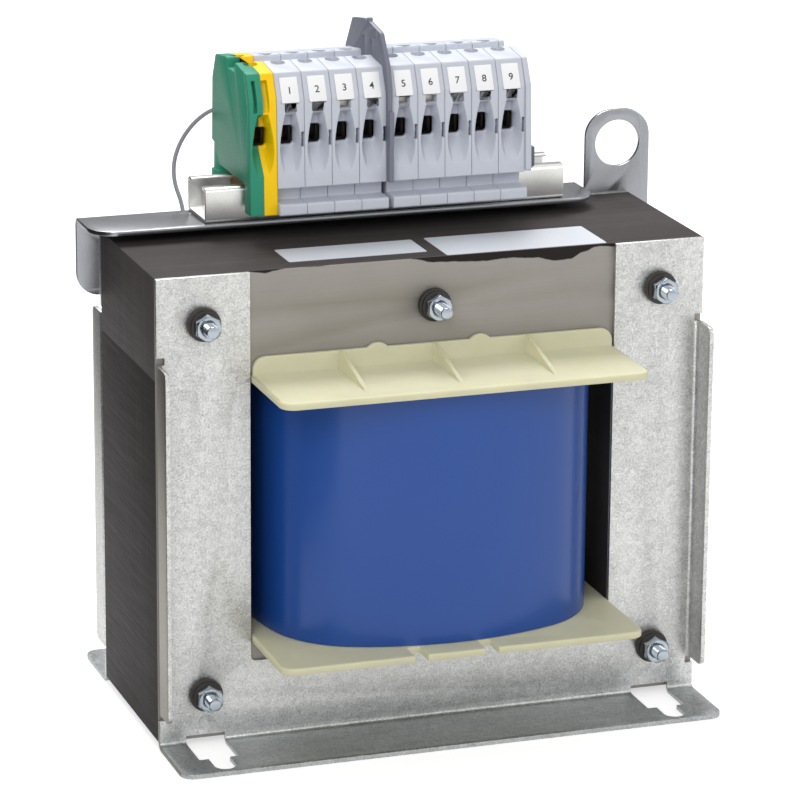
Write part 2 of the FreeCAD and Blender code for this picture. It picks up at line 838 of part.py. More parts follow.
def terminal_places():
    """Left edge of each grey terminal, with the separator between the two groups."""
    first = rail_left + 27.0
    places = [first + terminal_pitch * i for i in range(left_group)]
    after = first + terminal_pitch * left_group + separator_thickness
    places += [after + terminal_pitch * i for i in range(right_group)]
    return places


earth_left = rail_left + 27.0 - terminal_pitch
separator_left = rail_left + 27.0 + terminal_pitch * left_group - (terminal_pitch - terminal_width)


def current_bar(centre, stepped=True):
    """Bar through both clamps; the grey terminals' bars have ends stepped up to the test windows."""
    low = shelf_top + bar_bottom_rise
    bar = box(centre - bar_width / 2, centre + bar_width / 2, terminal_y - bar_out, terminal_y + bar_out,
              low, low + bar_thickness)
    if not stepped:
        return bar
    lips = []
    for side in (-1, 1):
        outer = terminal_y + side * bar_out
        inner = outer - side * bar_lip_thickness
        step = terminal_y + side * bar_step_out
        lips.append(box(centre - bar_width / 2, centre + bar_width / 2, min(outer, inner), max(outer, inner),
                        low, low + bar_lip_rise))
        lips.append(box(centre - bar_width / 2, centre + bar_width / 2, min(step, inner), max(step, inner),
                        shelf_top + bar_step_rise, low + bar_lip_rise))
    return fuse(bar, *lips)


def clamp_cage(centre, side, lift):
    """Steel cage that rises round the bar and grips the wire against it."""
    axis_y = terminal_y + side * clamp_out
    bottom = shelf_top + cage_bottom_rise + lift
    window_low = bottom + cage_floor
    window_high = shelf_top + bar_bottom_rise + bar_thickness + cage_gap + lift
    cage = box(centre - cage_width / 2, centre + cage_width / 2, axis_y - cage_depth / 2, axis_y + cage_depth / 2,
               bottom, window_high + cage_roof)
    opening = box(centre - cage_window / 2, centre + cage_window / 2, axis_y - cage_depth, axis_y + cage_depth,
                  window_low, window_high)
    hole = cylinder(clamp_screw_radius + running_clearance, (centre, axis_y, window_high - 1), (0, 0, 1), cage_roof + 2)
    return cage.cut(opening).cut(hole)


def clamp_screw(centre, side):
    """Slotted screw that bears on the bar and draws the cage up."""
    axis_y = terminal_y + side * clamp_out
    tip = shelf_top + bar_bottom_rise + bar_thickness + clamp_tip_gap
    head = shelf_top + clamp_head_rise
    shank = cylinder(clamp_screw_radius, (centre, axis_y, tip), (0, 0, 1), head - tip)
    cap = cylinder(clamp_head_radius, (centre, axis_y, head), (0, 0, 1), clamp_head_height)
    slot = box(centre - clamp_head_radius - 1, centre + clamp_head_radius + 1,
               axis_y - clamp_slot_width / 2, axis_y + clamp_slot_width / 2,
               head + clamp_head_height - clamp_slot_depth, head + clamp_head_height + 1)
    return fuse(shank, cap).cut(slot)


def grey_terminals():
    housings, tags, bars = [], [], []
    profile = grey_profile()
    for left in terminal_places():
        centre = left + terminal_width / 2
        body = terminal_body(profile, left, left + terminal_width, False)
        housings.append(body.cut(tag_prism(centre, tag_width, -tag_seat, 3.0)))
        tags.append(tag_prism(centre, tag_width, -tag_seat, tag_thickness - tag_seat))
        bars.append(current_bar(centre))
    return housings, Part.makeCompound(tags), Part.makeCompound(bars)


# Earth terminal: a green and a yellow shell round a bar whose stem stands on the rail
def earth_terminal():
    right = earth_left + terminal_width
    centre = (earth_left + right) / 2
    body = terminal_body(earth_profile(), earth_left, right, True)
    for left, far in (earth_slot_green, earth_slot_yellow):
        body = body.cut(tag_prism(earth_left + (left + far) / 2, far - left, -earth_slot_depth, 3.0,
                                  earth_slot_low, earth_slot_high))
    relief = prism_x([
        (terminal_y + earth_leg_out + 1, shelf_top + earth_relief_rear, 0),
        (terminal_y - earth_leg_in, shelf_top + rail_height + earth_foot + 0.4, 0),
        (terminal_y - earth_leg_in, shelf_top + rail_height, 0),
        (terminal_y + earth_leg_out + 1, shelf_top + rail_height - 1, 0),
    ], earth_left - 1, earth_left + earth_relief_depth)
    body = body.cut(relief)
    line = prism_x([
        (terminal_y - crown_out + 5.2, shelf_top + terminal_top + 1, 0),
        (terminal_y - crown_out + 4.8, shelf_top + terminal_top + 1, 0),
        (terminal_y - face_top_out + 2.8, shelf_top + 50.0, 0),
        (terminal_y - face_top_out + 3.2, shelf_top + 50.0, 0),
    ], earth_left - 1, earth_left + earth_line_depth)
    body = body.cut(line)
    stem_half = clamp_out - chamber_half - 1.2
    stem_low = shelf_top + rail_height
    stem_high = shelf_top + bar_bottom_rise + 0.5
    slot = box(centre - bar_width / 2 - 0.1, centre + bar_width / 2 + 0.1, terminal_y - stem_half - 0.1,
               terminal_y + stem_half + 0.1, stem_low, stem_high)
    body = body.cut(slot)
    seam = earth_left + earth_seam
    green = body.common(box(earth_left - 1, seam, -300, 300, 0, 400))
    yellow = body.common(box(seam, right + 1, -300, 300, 0, 400))
    stem = box(centre - bar_width / 2, centre + bar_width / 2, terminal_y - stem_half, terminal_y + stem_half,
               stem_low, stem_high)
    foot_half = rail_width / 2 - rail_radius + 1.0
    foot = box(centre - bar_width / 2, centre + bar_width / 2, terminal_y - foot_half, terminal_y + foot_half,
               stem_low, stem_low + earth_foot)
    neck_half = rail_opening / 2 - neck_gap
    under = lip_underside - hook_gap
    neck = box(centre - bar_width / 2, centre + bar_width / 2, terminal_y - neck_half, terminal_y + neck_half,
               under - hook_drop, stem_low)
    hook = box(centre - bar_width / 2, centre + bar_width / 2, terminal_y - hook_reach, terminal_y + hook_reach,
               under - hook_drop, under)
    return green, yellow, fuse(current_bar(centre, False), stem, foot, neck, hook)


# Tall partition between the two groups, with its locating slots
def separator_plate():
    x0 = separator_left
    x1 = x0 + separator_thickness
    foot = rail_width / 2 - rail_radius + 1.0
    corners = both_sides([
        (-3.0, separator_rise, 0),
        (-18.5, separator_rise - 2.4, 2.0),
        (-27.7, 64.7, 3.0),
        (-separator_neck_out, 56.0, 2.0),
        (-separator_neck_out, 47.0, 0),
        (-separator_out, 47.0, 0.5),
        (-separator_out, rail_height + 1.9, 0.5),
        (-foot, rail_height + 1.9, 0),
        (-foot, rail_height, 0),
    ])
    plate = prism_x(corners, x0, x1)
    nub = box(x0, x1, terminal_y - 3.6, terminal_y - 1.4, shelf_top + separator_rise - 1, shelf_top + separator_rise + 1.2)
    plate = fuse(plate, nub)
    half = separator_slot / 2
    for along, low, high in ((3.2, 64.0, 73.3), (-6.3, 66.0, 73.3), (-11.4, 74.2, 78.2)):
        plate = plate.cut(box(x0 - 1, x1 + 1, terminal_y + along - half, terminal_y + along + half,
                              shelf_top + low, shelf_top + high))
    return plate


# Plate that closes the open side of the last terminal
def end_plate():
    x0 = terminal_places()[-1] + terminal_pitch
    foot = rail_width / 2 - rail_radius + 1.0
    corners = both_sides([
        (-channel_half, terminal_top - channel_depth, 0),
        (-channel_half, terminal_top, channel_edge),
        (-crown_out, crown_rise, 1.5),
        (-face_top_out - 0.6, face_top_rise, 3.0),
        (-end_plate_out, face_bottom_rise + 0.5, 1.0),
        (-foot, face_bottom_rise + 0.5, 0),
        (-foot, rail_height, 0),
    ])
    return prism_x(corners, x0, x0 + end_plate_thickness)


# Stop that grips the rail and holds the row together
def end_stop():
    x0 = terminal_places()[-1] + terminal_pitch + end_plate_thickness + end_stop_gap
    x1 = x0 + end_stop_width
    y0 = terminal_y - end_stop_depth / 2
    y1 = y0 + end_stop_depth
    top = shelf_top + end_stop_rise
    body = prism_y([
        (x0, rail_top, 0),
        (x1, rail_top, 0),
        (x1, rail_top + end_stop_step, 0.5),
        (x1 - 2.1, rail_top + end_stop_step, 0),
        (x1 - 5.2, top, 0.5),
        (x0, top, 0.3),
    ], y0, y1)
    nose = cylinder(end_stop_nose, (x1 - 3.9, y0 + 2.0, shelf_top + end_stop_nose_rise), (0, 1, 0), end_stop_depth - 4.0)
    neck_half = rail_opening / 2 - neck_gap
    under = lip_underside - hook_gap
    neck = box(x0, x1, terminal_y - neck_half, terminal_y + neck_half, under - hook_drop, rail_top)
    hook = box(x0, x1, terminal_y - hook_reach, terminal_y + hook_reach, under - hook_drop, under)
    return fuse(body, nose, neck, hook)


# Ring lug behind the bracket and the thin lead that runs to it from the earth terminal
lug_direction = Vector(6.0, 0, 5.6).normalize()
barrel_start_reach = lug_ring_radius + 1.5
barrel_y = bracket_rear + lug_barrel_radius + 0.3


def lead_lug():
    x = -bolt_x
    z = bolt_high
    ring = cylinder(lug_ring_radius, (x, bracket_rear, z), (0, 1, 0), lug_sheet)
    hole = cylinder(stud_radius + thread_clearance, (x, bracket_rear - 1, z), (0, 1, 0), lug_sheet + 2)
    across = Vector(-lug_direction.z, 0, lug_direction.x) * 2.2
    near = Vector(x, bracket_rear, z) + lug_direction * (lug_ring_radius - 1.5)
    far = Vector(x, bracket_rear, z) + lug_direction * (barrel_start_reach + 1.5)
    tongue = Part.Face(Part.makePolygon([near + across, far + across, far - across, near - across, near + across]))
    tongue = tongue.extrude(Vector(0, lug_sheet, 0))
    start = Vector(x, barrel_y, z) + lug_direction * barrel_start_reach
    barrel = Part.makeCylinder(lug_barrel_radius, lug_barrel_length, start, lug_direction)
    return fuse(ring, tongue, barrel).cut(hole)


def lead_route():
    """Points of the earth lead, chosen by hand, from the clamp to the barrel of the lug."""
    mouth = Vector(-bolt_x, barrel_y, bolt_high) + lug_direction * (barrel_start_reach + lug_barrel_length)
    return [
        Vector(-60.1, 39.0, 249.65),
        Vector(-60.1, 50.0, 249.65),
        Vector(-61.0, 58.5, 249.2),
        Vector(-65.0, 65.0, 246.6),
        Vector(-71.0, 68.6, 241.0),
        Vector(-76.6, 69.4, 233.4),
        Vector(-80.4, 68.0, 224.8),
        Vector(-81.8, 62.4, 216.6),
        Vector(-80.4, 55.6, 209.4),
        Vector(-80.9, 50.5, 203.0),
        mouth + lug_direction * 7.0,
        mouth,
    ]


def cord_tube(points, radius):
    """Straight runs joined by arcs as large as the two runs allow."""
    edges = []
    start = points[0]
    radii = []
    for i in range(1, len(points) - 1):
        before = points[i - 1] - points[i]
        after = points[i + 1] - points[i]
        shorter = min(before.Length, after.Length)
        to_before = Vector(before).normalize()
        to_after = Vector(after).normalize()
        half_turn = (math.pi - to_before.getAngle(to_after)) / 2
        reach = 0.45 * shorter
        arc_radius = reach / math.tan(half_turn)
        radii.append(round(arc_radius, 1))
        inward = (to_before + to_after).normalize()
        middle = points[i] + inward * (arc_radius / math.cos(half_turn) - arc_radius)
        arc_start = points[i] + to_before * reach
        arc_end = points[i] + to_after * reach
        edges.append(Part.LineSegment(start, arc_start).toShape())
        edges.append(Part.Arc(arc_start, middle, arc_end).toShape())
        start = arc_end
    edges.append(Part.LineSegment(start, points[-1]).toShape())
    path = Part.Wire(edges)
    circle = Part.Wire(Part.makeCircle(radius, points[0], points[1] - points[0]))
    tube = path.makePipeShell([circle], True, True)
    print("lead radii", radii, "length", round(path.Length, 1),
          "volume share", round(tube.Volume / (math.pi * radius ** 2 * path.Length), 4))
    return tube


def top_labels():
    labels = []
    for width, depth, x, y in label_sizes:
        labels.append(prism_z(rectangle(x, x + width, y, y + depth, 0.8), core_top, core_top + label_thickness))
    return Part.makeCompound(labels)


def main():
    e_stack, i_stack = lamination_stacks()
    export("e_lamination_stack", e_stack)
    export("i_lamination_stack", i_stack)
    frame = mounting_frame()
    export("front_mounting_frame", frame)
    export("rear_mounting_frame", mirrored(frame))
    export("coil_bobbin", bobbin())
    primary, insulation, secondary, wrap = coil_layers()
    export("primary_winding", primary)
    export("interwinding_insulation", insulation)
    export("secondary_winding", secondary)
    export("coil_wrap", wrap)
    studs, sleeves, washers, nuts = core_fasteners()
    export("core_studs", studs)
    export("stud_sleeves", sleeves)
    export("insulating_washers", washers)
    export("stud_nuts", nuts)
    export("terminal_bracket", terminal_bracket())
    export("terminal_rail", terminal_rail())
    export("rail_rivets", rail_rivets())
    housings, tags, bars = grey_terminals()
    for i, housing in enumerate(housings):
        export("terminal_housing_%d" % (i + 1), housing)
    export("marker_tags", tags)
    export("current_bars", bars)
    green, yellow, earth_bar = earth_terminal()
    export("earth_shell_green", green)
    export("earth_shell_yellow", yellow)
    export("earth_bar", earth_bar)
    export("separator_plate", separator_plate())
    export("end_plate", end_plate())
    export("end_stop", end_stop())
    centres = [earth_left + terminal_width / 2] + [left + terminal_width / 2 for left in terminal_places()]
    rear_cages, rear_screws = [], []
    for i, centre in enumerate(centres):
        export("clamp_screw_%02d" % i, clamp_screw(centre, -1))
        export("clamp_cage_%02d" % i, clamp_cage(centre, -1, 0.0))
        lift = clamp_travel - 0.7 if i == 0 else 0.0
        rear_cages.append(clamp_cage(centre, 1, lift))
        rear_screws.append(clamp_screw(centre, 1))
    export("rear_clamp_cages", Part.makeCompound(rear_cages))
    export("rear_clamp_screws", Part.makeCompound(rear_screws))
    export("lead_lug", lead_lug())
    export("earth_lead", cord_tube(lead_route(), lead_diameter / 2))
    export("top_labels", top_labels())


main()
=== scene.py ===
# %% [markdown]
# A control transformer, dressed for its portrait.
# The CAD model already has every piece at its real size and place. This lesson keeps those sizes and adds
# what a drawing leaves out: softened edges, threads, printed numbers, and the finish of each material.

# %% Load the frame
import bpy
import math
from mathutils import Matrix, Vector


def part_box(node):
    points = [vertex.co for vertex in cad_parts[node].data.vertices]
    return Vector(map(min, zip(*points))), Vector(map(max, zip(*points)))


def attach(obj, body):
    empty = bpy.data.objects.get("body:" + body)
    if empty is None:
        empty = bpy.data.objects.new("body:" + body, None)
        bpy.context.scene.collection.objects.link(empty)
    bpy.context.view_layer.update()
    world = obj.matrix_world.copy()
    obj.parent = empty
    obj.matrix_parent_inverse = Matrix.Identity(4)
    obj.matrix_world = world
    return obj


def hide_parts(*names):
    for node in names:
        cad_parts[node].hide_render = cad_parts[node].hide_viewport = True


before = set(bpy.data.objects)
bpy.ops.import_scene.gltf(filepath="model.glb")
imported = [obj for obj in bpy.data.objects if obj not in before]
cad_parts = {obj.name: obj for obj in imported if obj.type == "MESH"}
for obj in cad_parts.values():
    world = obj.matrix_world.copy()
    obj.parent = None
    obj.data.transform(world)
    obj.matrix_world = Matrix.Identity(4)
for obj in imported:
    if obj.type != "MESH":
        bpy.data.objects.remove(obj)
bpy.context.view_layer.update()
MM = 0.001
print("CAD nodes:", len(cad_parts))

# %% [markdown]
# Every operator acts on what is selected, and the loaded nodes are all selected at first. So each step
# starts by clearing the selection, and this small helper does that for us.

# %% Clear the selection
def deselect():
    if bpy.context.object is not None and bpy.context.object.mode != "OBJECT":
        bpy.ops.object.mode_set(mode="OBJECT")
    bpy.ops.object.select_all(action="DESELECT")


# %% [markdown]
# The camera comes first, because it decides what the reader sees. A long lens a little to the left of the
# object and above it gives the calm, nearly parallel edges of a catalogue picture. A constraint could aim
# it, but three plain angles hold its direction exactly, so its axes are worked out from them.

# %% Camera
IMAGE_SIDE = 800
FOCAL_PIXELS = 4165.7
SENSOR_MM = 36.0
NEAREST = 0.05
FURTHEST = 30.0
CAMERA_PLACE = Vector((-0.55522, -1.61486, 0.62963))
CAMERA_YAW = math.radians(18.972)
CAMERA_PITCH = math.radians(16.317)
CAMERA_ROLL = math.radians(0.437)


def camera_axes():
    forward = Vector((math.sin(CAMERA_YAW) * math.cos(CAMERA_PITCH),
                      math.cos(CAMERA_YAW) * math.cos(CAMERA_PITCH),
                      -math.sin(CAMERA_PITCH)))
    level = Vector((math.cos(CAMERA_YAW), -math.sin(CAMERA_YAW), 0))
    above = level.cross(forward)
    right = level * math.cos(CAMERA_ROLL) + above * math.sin(CAMERA_ROLL)
    up = above * math.cos(CAMERA_ROLL) - level * math.sin(CAMERA_ROLL)
    return right, up, -forward


deselect()
bpy.ops.object.camera_add(location=CAMERA_PLACE)
camera = bpy.context.object
camera.rotation_mode = "QUATERNION"
camera.rotation_quaternion = Matrix(camera_axes()).transposed().to_quaternion()
camera.data.sensor_width = SENSOR_MM
camera.data.lens = SENSOR_MM * FOCAL_PIXELS / IMAGE_SIDE
camera.data.clip_start = NEAREST
camera.data.clip_end = FURTHEST
bpy.context.scene.camera = camera
print("lens, mm:", round(camera.data.lens, 1))

# %% [markdown]
# A finish is a tree of shader nodes. It could be wired node by node, but a page of wiring is hard to read.
# So a few short helpers add, join and blend the nodes, and each pattern then takes one line. Every pattern
# reads Object coordinates, which are metres on the real object, so a noise of scale 1000 has 1 mm grains.

# %% Shader helpers
MIX_FACTOR, MIX_FIRST, MIX_SECOND = 0, 6, 7
MIX_COLOUR_OUT = 2


class Tree:
    """A node tree with short calls for adding and joining nodes."""

    def __init__(self, tree):
        self.tree = tree

    def add(self, kind, **values):
        node = self.tree.nodes.new(kind)
        for name, value in values.items():
            if name.startswith("in_"):
                socket_name = name.removeprefix("in_").replace("_", " ")
                node.inputs[socket_name].default_value = value
            else:
                setattr(node, name, value)
        return node

    def link(self, source, target):
        self.tree.links.new(source, target)

    def feed(self, value, socket):
        """Write a plain value on a socket, or link another node's output to it."""
        if isinstance(value, (int, float, tuple)):
            socket.default_value = value
        else:
            self.link(value, socket)

    def math(self, operation, *values):
        node = self.add("ShaderNodeMath", operation=operation)
        for value, socket in zip(values, node.inputs):
            self.feed(value, socket)
        return node.outputs[0]

    def weighed(self, *rows):
        """The sum of some patterns, each times its weight."""
        total = 0.0
        for pattern, weight in rows:
            total = self.math("MULTIPLY_ADD", pattern, weight, total)
        return total

    def span(self, value, low, high, new_low=0.0, new_high=1.0):
        """Stretch the values between low and high to new limits, and clamp the rest."""
        node = self.add("ShaderNodeMapRange", in_From_Min=low, in_From_Max=high,
                        in_To_Min=new_low, in_To_Max=new_high)
        self.link(value, node.inputs["Value"])
        return node.outputs[0]

    def mix(self, factor, first, second, blend="MIX"):
        node = self.add("ShaderNodeMix", data_type="RGBA", blend_type=blend)
        self.feed(factor, node.inputs[MIX_FACTOR])
        self.feed(first, node.inputs[MIX_FIRST])
        self.feed(second, node.inputs[MIX_SECOND])
        return node.outputs[MIX_COLOUR_OUT]

    def tint(self, colour, shade):
        return self.mix(1.0, colour, shade, "MULTIPLY")

    def grey(self, level):
        node = self.add("ShaderNodeCombineColor")
        for socket in node.inputs:
            self.link(level, socket)
        return node.outputs[0]

    def place(self):
        return self.add("ShaderNodeTexCoord").outputs["Object"]

    def axes(self):
        node = self.add("ShaderNodeSeparateXYZ")
        self.link(self.place(), node.inputs[0])
        return node.outputs["X"], node.outputs["Y"], node.outputs["Z"]

    def stretched(self, scale):
        """Object coordinates times a scale for each axis, for grain that runs one way."""
        node = self.add("ShaderNodeMapping", in_Scale=scale)
        self.link(self.place(), node.inputs["Vector"])
        return node.outputs[0]

    def noise(self, coordinates, scale, detail=2.0, roughness=0.5):
        node = self.add("ShaderNodeTexNoise", in_Scale=scale, in_Detail=detail, in_Roughness=roughness)
        self.link(coordinates, node.inputs["Vector"])
        return node.outputs[0]


def linear(red, green, blue):
    """Screen colour from 0 to 255, as the linear colour that a shader takes."""
    def channel(value):
        value /= 255
        return value / 12.92 if value <= 0.04045 else ((value + 0.055) / 1.055) ** 2.4
    return (channel(red), channel(green), channel(blue), 1.0)


# %% [markdown]
# Several finishes share an effect, such as the crystals of zinc or the grain of plastic. It could be copied
# into each material, but one node group with named sockets is built once and gets its own values in each.

# %% Group helper
FLOAT = "NodeSocketFloat"
COLOUR = "NodeSocketColor"
MIDDLE_GREY = (0.6, 0.6, 0.6, 1)


def new_group(name, inputs, outputs):
    group = bpy.data.node_groups.new(name, "ShaderNodeTree")
    for label, kind, value in inputs:
        socket = group.interface.new_socket(name=label, in_out="INPUT", socket_type=kind)
        socket.default_value = value
    for label, kind in outputs:
        group.interface.new_socket(name=label, in_out="OUTPUT", socket_type=kind)
    tree = Tree(group)
    return group, tree, tree.add("NodeGroupInput"), tree.add("NodeGroupOutput")


# %% [markdown]
# Zinc on sheet steel grows in flat crystals, the spangle. A plain noise would look like dust, so cells of
# slightly different brightness stand for the crystals. Fine grain, soft clouds and a few dark specks lie
# over them, and the same pattern also makes the gloss uneven.

# %% Spangle group
FINE_GRAIN = 1250.0
SPECKS = 900.0
CLOUDS = 60.0
CELL_WEIGHT = 0.30
FINE_WEIGHT = 0.75
CLOUD_WEIGHT = 0.45
SPECK_WEIGHT = 0.30
MEAN_PATTERN = 0.8
GLOSS_CHANGE = 0.14

spangle, tree, entry, out = new_group(
    "Zinc spangle",
    [("Base", COLOUR, MIDDLE_GREY), ("Scale", FLOAT, 300.0),
     ("Contrast", FLOAT, 0.1), ("Gloss", FLOAT, 0.4)],
    [("Color", COLOUR), ("Roughness", FLOAT), ("Height", FLOAT)])
place = tree.place()
cells = tree.add("ShaderNodeTexVoronoi")
tree.link(place, cells.inputs["Vector"])
tree.link(entry.outputs["Scale"], cells.inputs["Scale"])
split = tree.add("ShaderNodeSeparateColor")
tree.link(cells.outputs["Color"], split.inputs[0])
fine = tree.span(tree.noise(place, FINE_GRAIN, 2.0, 0.6), 0.3, 0.7)
cloud = tree.noise(place, CLOUDS, 3.0, 0.6)
specks = tree.span(tree.noise(place, SPECKS, 1.0), 0.26, 0.36, -1.0, 0.0)
pattern = tree.weighed((split.outputs[0], CELL_WEIGHT), (fine, FINE_WEIGHT), (cloud, CLOUD_WEIGHT),
                       (specks, SPECK_WEIGHT))
shift = tree.math("MULTIPLY", tree.math("SUBTRACT", pattern, MEAN_PATTERN), entry.outputs["Contrast"])
shade = tree.grey(tree.math("ADD", shift, 1.0))
tree.link(tree.tint(entry.outputs["Base"], shade), out.inputs["Color"])
gloss = tree.math("MULTIPLY_ADD", pattern, GLOSS_CHANGE, entry.outputs["Gloss"])
tree.link(gloss, out.inputs["Roughness"])
tree.link(pattern, out.inputs["Height"])
print("spangle nodes:", len(spangle.nodes))

# %% [markdown]
# Moulded plastic is never perfectly even. One flat colour would look like paint, so a little cloudiness
# in the colour and a very fine grain in gloss and surface make it plastic.

# %% Moulded plastic group
moulded, tree, entry, out = new_group(
    "Moulded plastic",
    [("Base", COLOUR, MIDDLE_GREY), ("Cloud", FLOAT, 0.06), ("Grain", FLOAT, 1200.0)],
    [("Color", COLOUR), ("Roughness", FLOAT), ("Height", FLOAT)])
place = tree.place()
grain = tree.add("ShaderNodeTexNoise", in_Detail=2.0)
tree.link(place, grain.inputs["Vector"])
tree.link(entry.outputs["Grain"], grain.inputs["Scale"])
cloud = tree.math("SUBTRACT", tree.noise(place, CLOUDS), 0.5)
shade = tree.grey(tree.math("MULTIPLY_ADD", cloud, entry.outputs["Cloud"], 1.0))
tree.link(tree.tint(entry.outputs["Base"], shade), out.inputs["Color"])
tree.link(tree.span(grain.outputs[0], 0.2, 0.8, 0.38, 0.55), out.inputs["Roughness"])
tree.link(grain.outputs[0], out.inputs["Height"])
print("moulded plastic nodes:", len(moulded.nodes))

# %% [markdown]
# The core is a pack of half-millimetre sheets, whose edges show on its top and sides as fine lines.
# Hundreds of thin boxes could make them, but a pattern that is stretched along X and Z does it without a
# single face more. No two sheets end at quite the same height, so noise outweighs the regular wave.

# %% Sheet edges group
NARROW_BANDS = (6.0, 1100.0, 6.0)
WIDE_BANDS = (3.0, 260.0, 3.0)

sheet_edges, tree, entry, out = new_group(
    "Sheet edges", [("Pitch", FLOAT, 0.5 * MM)], [("Lines", FLOAT), ("Height", FLOAT)])
_, y, _ = tree.axes()
turns = tree.math("DIVIDE", y, entry.outputs["Pitch"])
ridges = tree.math("SINE", tree.math("MULTIPLY", turns, 2 * math.pi))
narrow = tree.noise(tree.stretched(NARROW_BANDS), 1.0, 3.0, 0.7)
wide = tree.noise(tree.stretched(WIDE_BANDS), 1.0, 2.0, 0.6)
tree.link(tree.weighed((ridges, 0.08), (narrow, 0.6), (wide, 0.4)), out.inputs["Lines"])
tree.link(tree.weighed((ridges, 0.4), (narrow, 1.0)), out.inputs["Height"])
print("sheet edge nodes:", len(sheet_edges.nodes))

# %% [markdown]
# Each material starts from the Principled shader. What is the same all over a surface is written on the
# shader's own sockets, and only what varies is linked from a group. Two makers, one for zinc and one for
# plastic, spare the same lines for every finish.

# %% Material helpers
GRAIN_RELIEF = 0.1 * MM
ZINC_BUMP = 0.12
PLASTIC_BUMP = 0.05


def new_material(name, roughness=0.5, metallic=0.0, **sockets):
    material = bpy.data.materials.new(name)
    material.use_nodes = True
    shader = material.node_tree.nodes["Principled BSDF"]
    shader.inputs["Roughness"].default_value = roughness
    shader.inputs["Metallic"].default_value = metallic
    for label, value in sockets.items():
        shader.inputs[label.replace("_", " ")].default_value = value
    return material, Tree(material.node_tree), shader


def bump(tree, shader, height, strength, distance=GRAIN_RELIEF):
    node = tree.add("ShaderNodeBump", in_Strength=strength, in_Distance=distance)
    tree.link(height, node.inputs["Height"])
    tree.link(node.outputs[0], shader.inputs["Normal"])


def use_group(tree, group, **values):
    node = tree.add("ShaderNodeGroup", node_tree=group)
    for label, value in values.items():
        node.inputs[label].default_value = value
    return node


def zinc(name, colour, scale, contrast, gloss=0.28, metallic=1.0, strength=ZINC_BUMP, even=False):
    """Zinc or another metal. An even one keeps one gloss and no relief, as on smooth sheet."""
    material, tree, shader = new_material(name, roughness=gloss, metallic=metallic)
    effect = use_group(tree, spangle, Base=colour, Scale=scale, Contrast=contrast, Gloss=gloss)
    tree.link(effect.outputs["Color"], shader.inputs["Base Color"])
    if not even:
        tree.link(effect.outputs["Roughness"], shader.inputs["Roughness"])
        bump(tree, shader, effect.outputs["Height"], strength)
    return material


def plastic(name, colour, cloud=0.06, **sockets):
    material, tree, shader = new_material(name, **sockets)
    effect = use_group(tree, moulded, Base=colour, Cloud=cloud)
    tree.link(effect.outputs["Color"], shader.inputs["Base Color"])
    tree.link(effect.outputs["Roughness"], shader.inputs["Roughness"])
    bump(tree, shader, effect.outputs["Height"], PLASTIC_BUMP)
    return material


# %% [markdown]
# The two mounting frames are galvanised sheet, nearly white and finely mottled. A painted reflection makes
# the band just above the fold a touch darker and bluer, painted shade darkens the foot further, and painted
# shade darkens the outer face of the left side flange of the front frame. Each part could have a material of
# its own, but that leaves hard seams, so the height and the width on the sheet choose its tint.

# %% Frame sheet
WHITE = (1, 1, 1, 1)
SIDE_FACE = -120 * MM
# Heights of the band of painted reflection above the fold, and of the foot with its painted shade.
REFLECTION_BAND_TOP = 12.5 * MM
REFLECTION_BAND_BLEND = 1.2 * MM
FOOT_TOP = 2.2 * MM
FOOT_BLEND = 0.6 * MM
# Painted reflection: a darker, bluer tint for the band just above the fold.
FOLD_REFLECTION_TINT = linear(248, 250, 252)
# Painted shade: a darker tint for the foot.
FOOT_SHADE_TINT = linear(222, 226, 228)
# Painted shade: a darker brown-grey tint for the outer face of the left side flange.
FLANGE_SHADE_TINT = linear(176, 172, 160)


def frame_sheet(name, painted_flange_shade=False):
    material, tree, shader = new_material(name, metallic=0.95)
    effect = use_group(tree, spangle, Base=linear(200, 200, 198), Scale=520.0, Contrast=0.68, Gloss=0.34)
    x, _, z = tree.axes()
    above_reflection_band = tree.span(z, REFLECTION_BAND_TOP, REFLECTION_BAND_TOP + REFLECTION_BAND_BLEND)
    above_foot = tree.span(z, FOOT_TOP, FOOT_TOP + FOOT_BLEND)
    # Painted shade on the foot, and a painted reflection on the band above the fold.
    tint = tree.mix(above_foot, FOOT_SHADE_TINT, tree.mix(above_reflection_band, FOLD_REFLECTION_TINT, WHITE))
    colour = tree.tint(effect.outputs["Color"], tint)
    # Painted shade on the outer face of the left side flange.
    if painted_flange_shade:
        inside = tree.span(x, SIDE_FACE + 0.1 * MM, SIDE_FACE + 0.3 * MM)
        colour = tree.tint(colour, tree.mix(inside, FLANGE_SHADE_TINT, WHITE))
    tree.link(colour, shader.inputs["Base Color"])
    tree.link(effect.outputs["Roughness"], shader.inputs["Roughness"])
    bump(tree, shader, effect.outputs["Height"], ZINC_BUMP)
    return material


# Only the front frame gets the painted shade on its left side flange.
front_sheet = frame_sheet("galvanised_front_sheet", painted_flange_shade=True)
rear_sheet = frame_sheet("galvanised_rear_sheet")
print("frame sheets:", front_sheet.name, rear_sheet.name)

# %% [markdown]
# The other metals: the bracket and the rail are smoother sheet, the nuts and studs have a bluish bright
# zinc, and inside the terminals there are tinned bars and burnished steel clamps. All share the spangle
# group, with small cells and low contrast where the real metal is even.

# %% Metals
smooth_zinc = zinc("smooth_zinc_sheet", linear(153, 155, 159), 150.0, 0.16, gloss=0.27, even=True)
rail_zinc = zinc("rail_zinc", linear(228, 228, 225), 180.0, 0.14, even=True)
bright_zinc = zinc("bright_zinc", linear(166, 174, 182), 600.0, 0.05, gloss=0.10, strength=0.04)
tinned = zinc("tinned_copper", linear(196, 190, 178), 500.0, 0.08)
brassy = zinc("brassy_earth_bar", linear(214, 168, 112), 500.0, 0.08)
burnished = zinc("burnished_clamp_steel", linear(96, 90, 84), 500.0, 0.15, gloss=0.38)
copper = zinc("enamelled_copper", linear(176, 104, 62), 500.0, 0.08, gloss=0.30, metallic=0.9)
print("materials so far:", len(bpy.data.materials))

